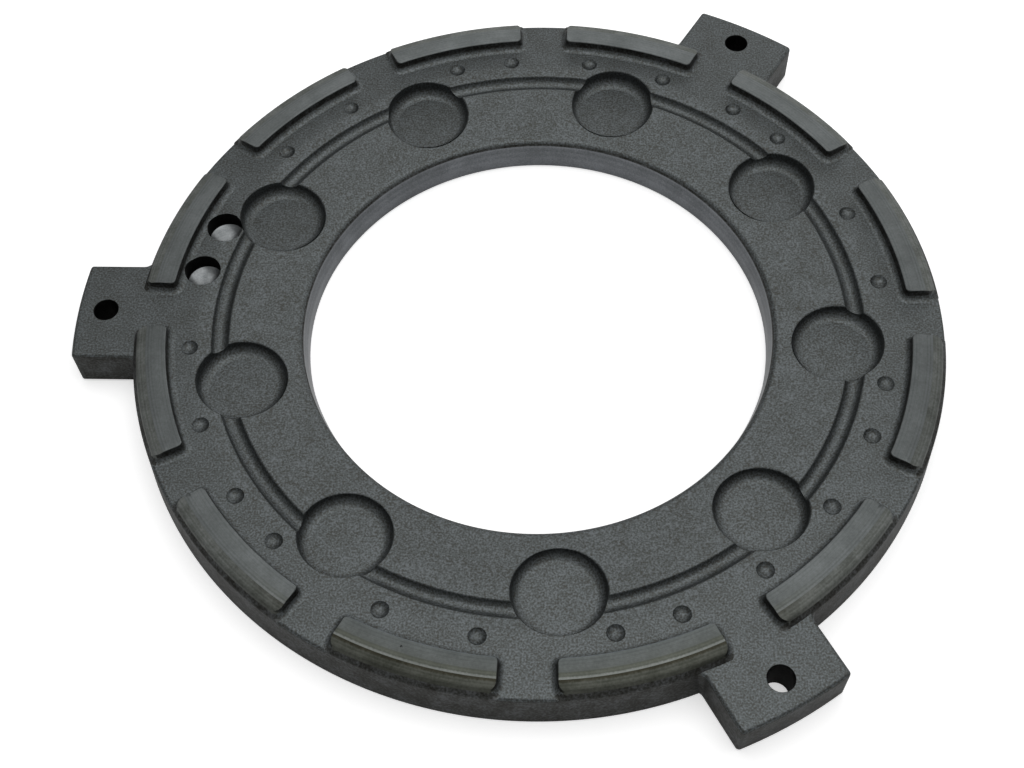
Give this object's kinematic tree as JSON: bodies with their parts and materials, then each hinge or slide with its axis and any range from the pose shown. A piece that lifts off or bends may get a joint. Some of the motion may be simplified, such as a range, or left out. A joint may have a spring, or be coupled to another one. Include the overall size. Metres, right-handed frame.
{
  "type": "clutch pressure plate",
  "caption": "Ring-shaped cast iron clutch pressure plate with drive lugs, cast pockets, a segmented fulcrum ridge and a flat machined friction face.",
  "frame": {"origin": "on the plate's axis, in the plane of the lug tops and outer land, 24 mm above the friction face", "axes": "+Z along the plate's axis, from the friction face towards the fulcrum ridge; the lugs are at 60, 180 and 300 degrees counter-clockwise from +X"},
  "size_m": [0.4637, 0.4546, 0.0304],
  "materials": {
    "cast_iron": "sand-cast grey iron, turned on the friction face, the lower bore and the ridge crests"
  },
  "bodies": {
    "root": {"pressure_plate_casting": "cast_iron"}
  },
  "joints": []
}
